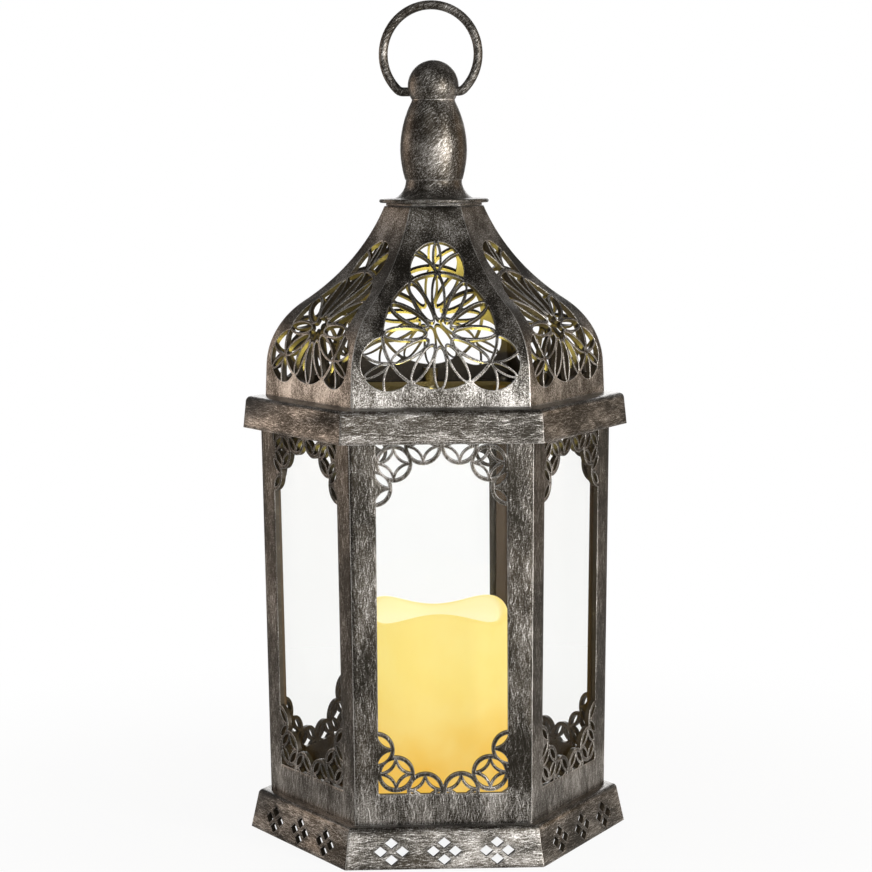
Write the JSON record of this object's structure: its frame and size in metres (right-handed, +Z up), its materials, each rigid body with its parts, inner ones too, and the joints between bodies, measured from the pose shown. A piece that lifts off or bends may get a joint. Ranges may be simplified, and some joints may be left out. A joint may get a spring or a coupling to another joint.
{
  "type": "moroccan metal lantern",
  "caption": "Hexagonal lantern with pierced dome, lace-edged clear windows, ring handle and a battery pillar candle on a pierced plinth.",
  "frame": {"origin": "centre of the plinth's underside, on the surface that the lantern stands on", "axes": "+Z up through the finial; -Y is the front face's outward normal; +X to the right of someone facing the front"},
  "size_m": [0.1648, 0.1428, 0.3551],
  "materials": {
    "pewter": "dark pewter, dry-brushed with silver",
    "inner_frame": "dark brown-black, satin",
    "ring_wire": "dark pewter wire, satin",
    "clear_pane": "clear, polished",
    "candle_wax": "translucent wax, lit from inside",
    "led_glow": "frosted, lit",
    "candle_base_plastic": "ivory, satin",
    "black_plastic": "matte",
    "battery_sleeve": "gloss sleeve",
    "contact_metal": "nickel plated spring strip",
    "board_green": "solder mask",
    "lead_insulation": "insulated wire",
    "screw_steel": "blackened steel"
  },
  "bodies": {
    "root": {"base_plinth": "pewter", "eave_frame": "pewter", "crown_plate": "pewter", "finial": "pewter", "side_panel_1": "pewter", "dome_panel_1": "pewter", "corner_post_1": "inner_frame", "window_pane_1": "clear_pane", "side_panel_2": "pewter", "dome_panel_2": "pewter", "corner_post_2": "inner_frame", "window_pane_2": "clear_pane", "side_panel_3": "pewter", "dome_panel_3": "pewter", "corner_post_3": "inner_frame", "window_pane_3": "clear_pane", "side_panel_4": "pewter", "dome_panel_4": "pewter", "corner_post_4": "inner_frame", "window_pane_4": "clear_pane", "side_panel_5": "pewter", "dome_panel_5": "pewter", "corner_post_5": "inner_frame", "window_pane_5": "clear_pane", "side_panel_6": "pewter", "dome_panel_6": "pewter", "corner_post_6": "inner_frame", "window_pane_6": "clear_pane", "floor_plate": "inner_frame", "clamp_plate": "inner_frame", "candle_shell": "candle_wax", "candle_base": "candle_base_plastic", "led_holder": "candle_base_plastic", "battery_1": "battery_sleeve", "battery_2": "battery_sleeve", "battery_contacts": "contact_metal", "circuit_board": "board_green", "timer_chip": "black_plastic", "switch_body": "black_plastic", "led_bulb": "led_glow", "led_leads": "lead_insulation", "base_screws": "screw_steel", "eave_screws": "screw_steel", "dome_screws": "screw_steel", "candle_screws": "screw_steel", "board_screws": "screw_steel", "finial_screw": "screw_steel"},
    "ring_handle": {"ring_handle": "ring_wire"},
    "battery_cover": {"battery_cover": "candle_base_plastic"},
    "switch_knob": {"switch_knob": "black_plastic"}
  },
  "joints": [
    {"name": "ring_swing", "type": "hinge", "parent": "root", "child": "ring_handle", "pos_m": [0, 0, 0.317], "axis": [0.9659, -0.2588, 0], "range_deg": [-145, 145]},
    {"name": "cover_slide", "type": "slide", "parent": "root", "child": "battery_cover", "axis": [1, 0, 0], "range_m": [0, 0.0044]},
    {"name": "switch_slide", "type": "slide", "parent": "root", "child": "switch_knob", "axis": [1, 0, 0], "range_m": [-0.004, 0]}
  ]
}
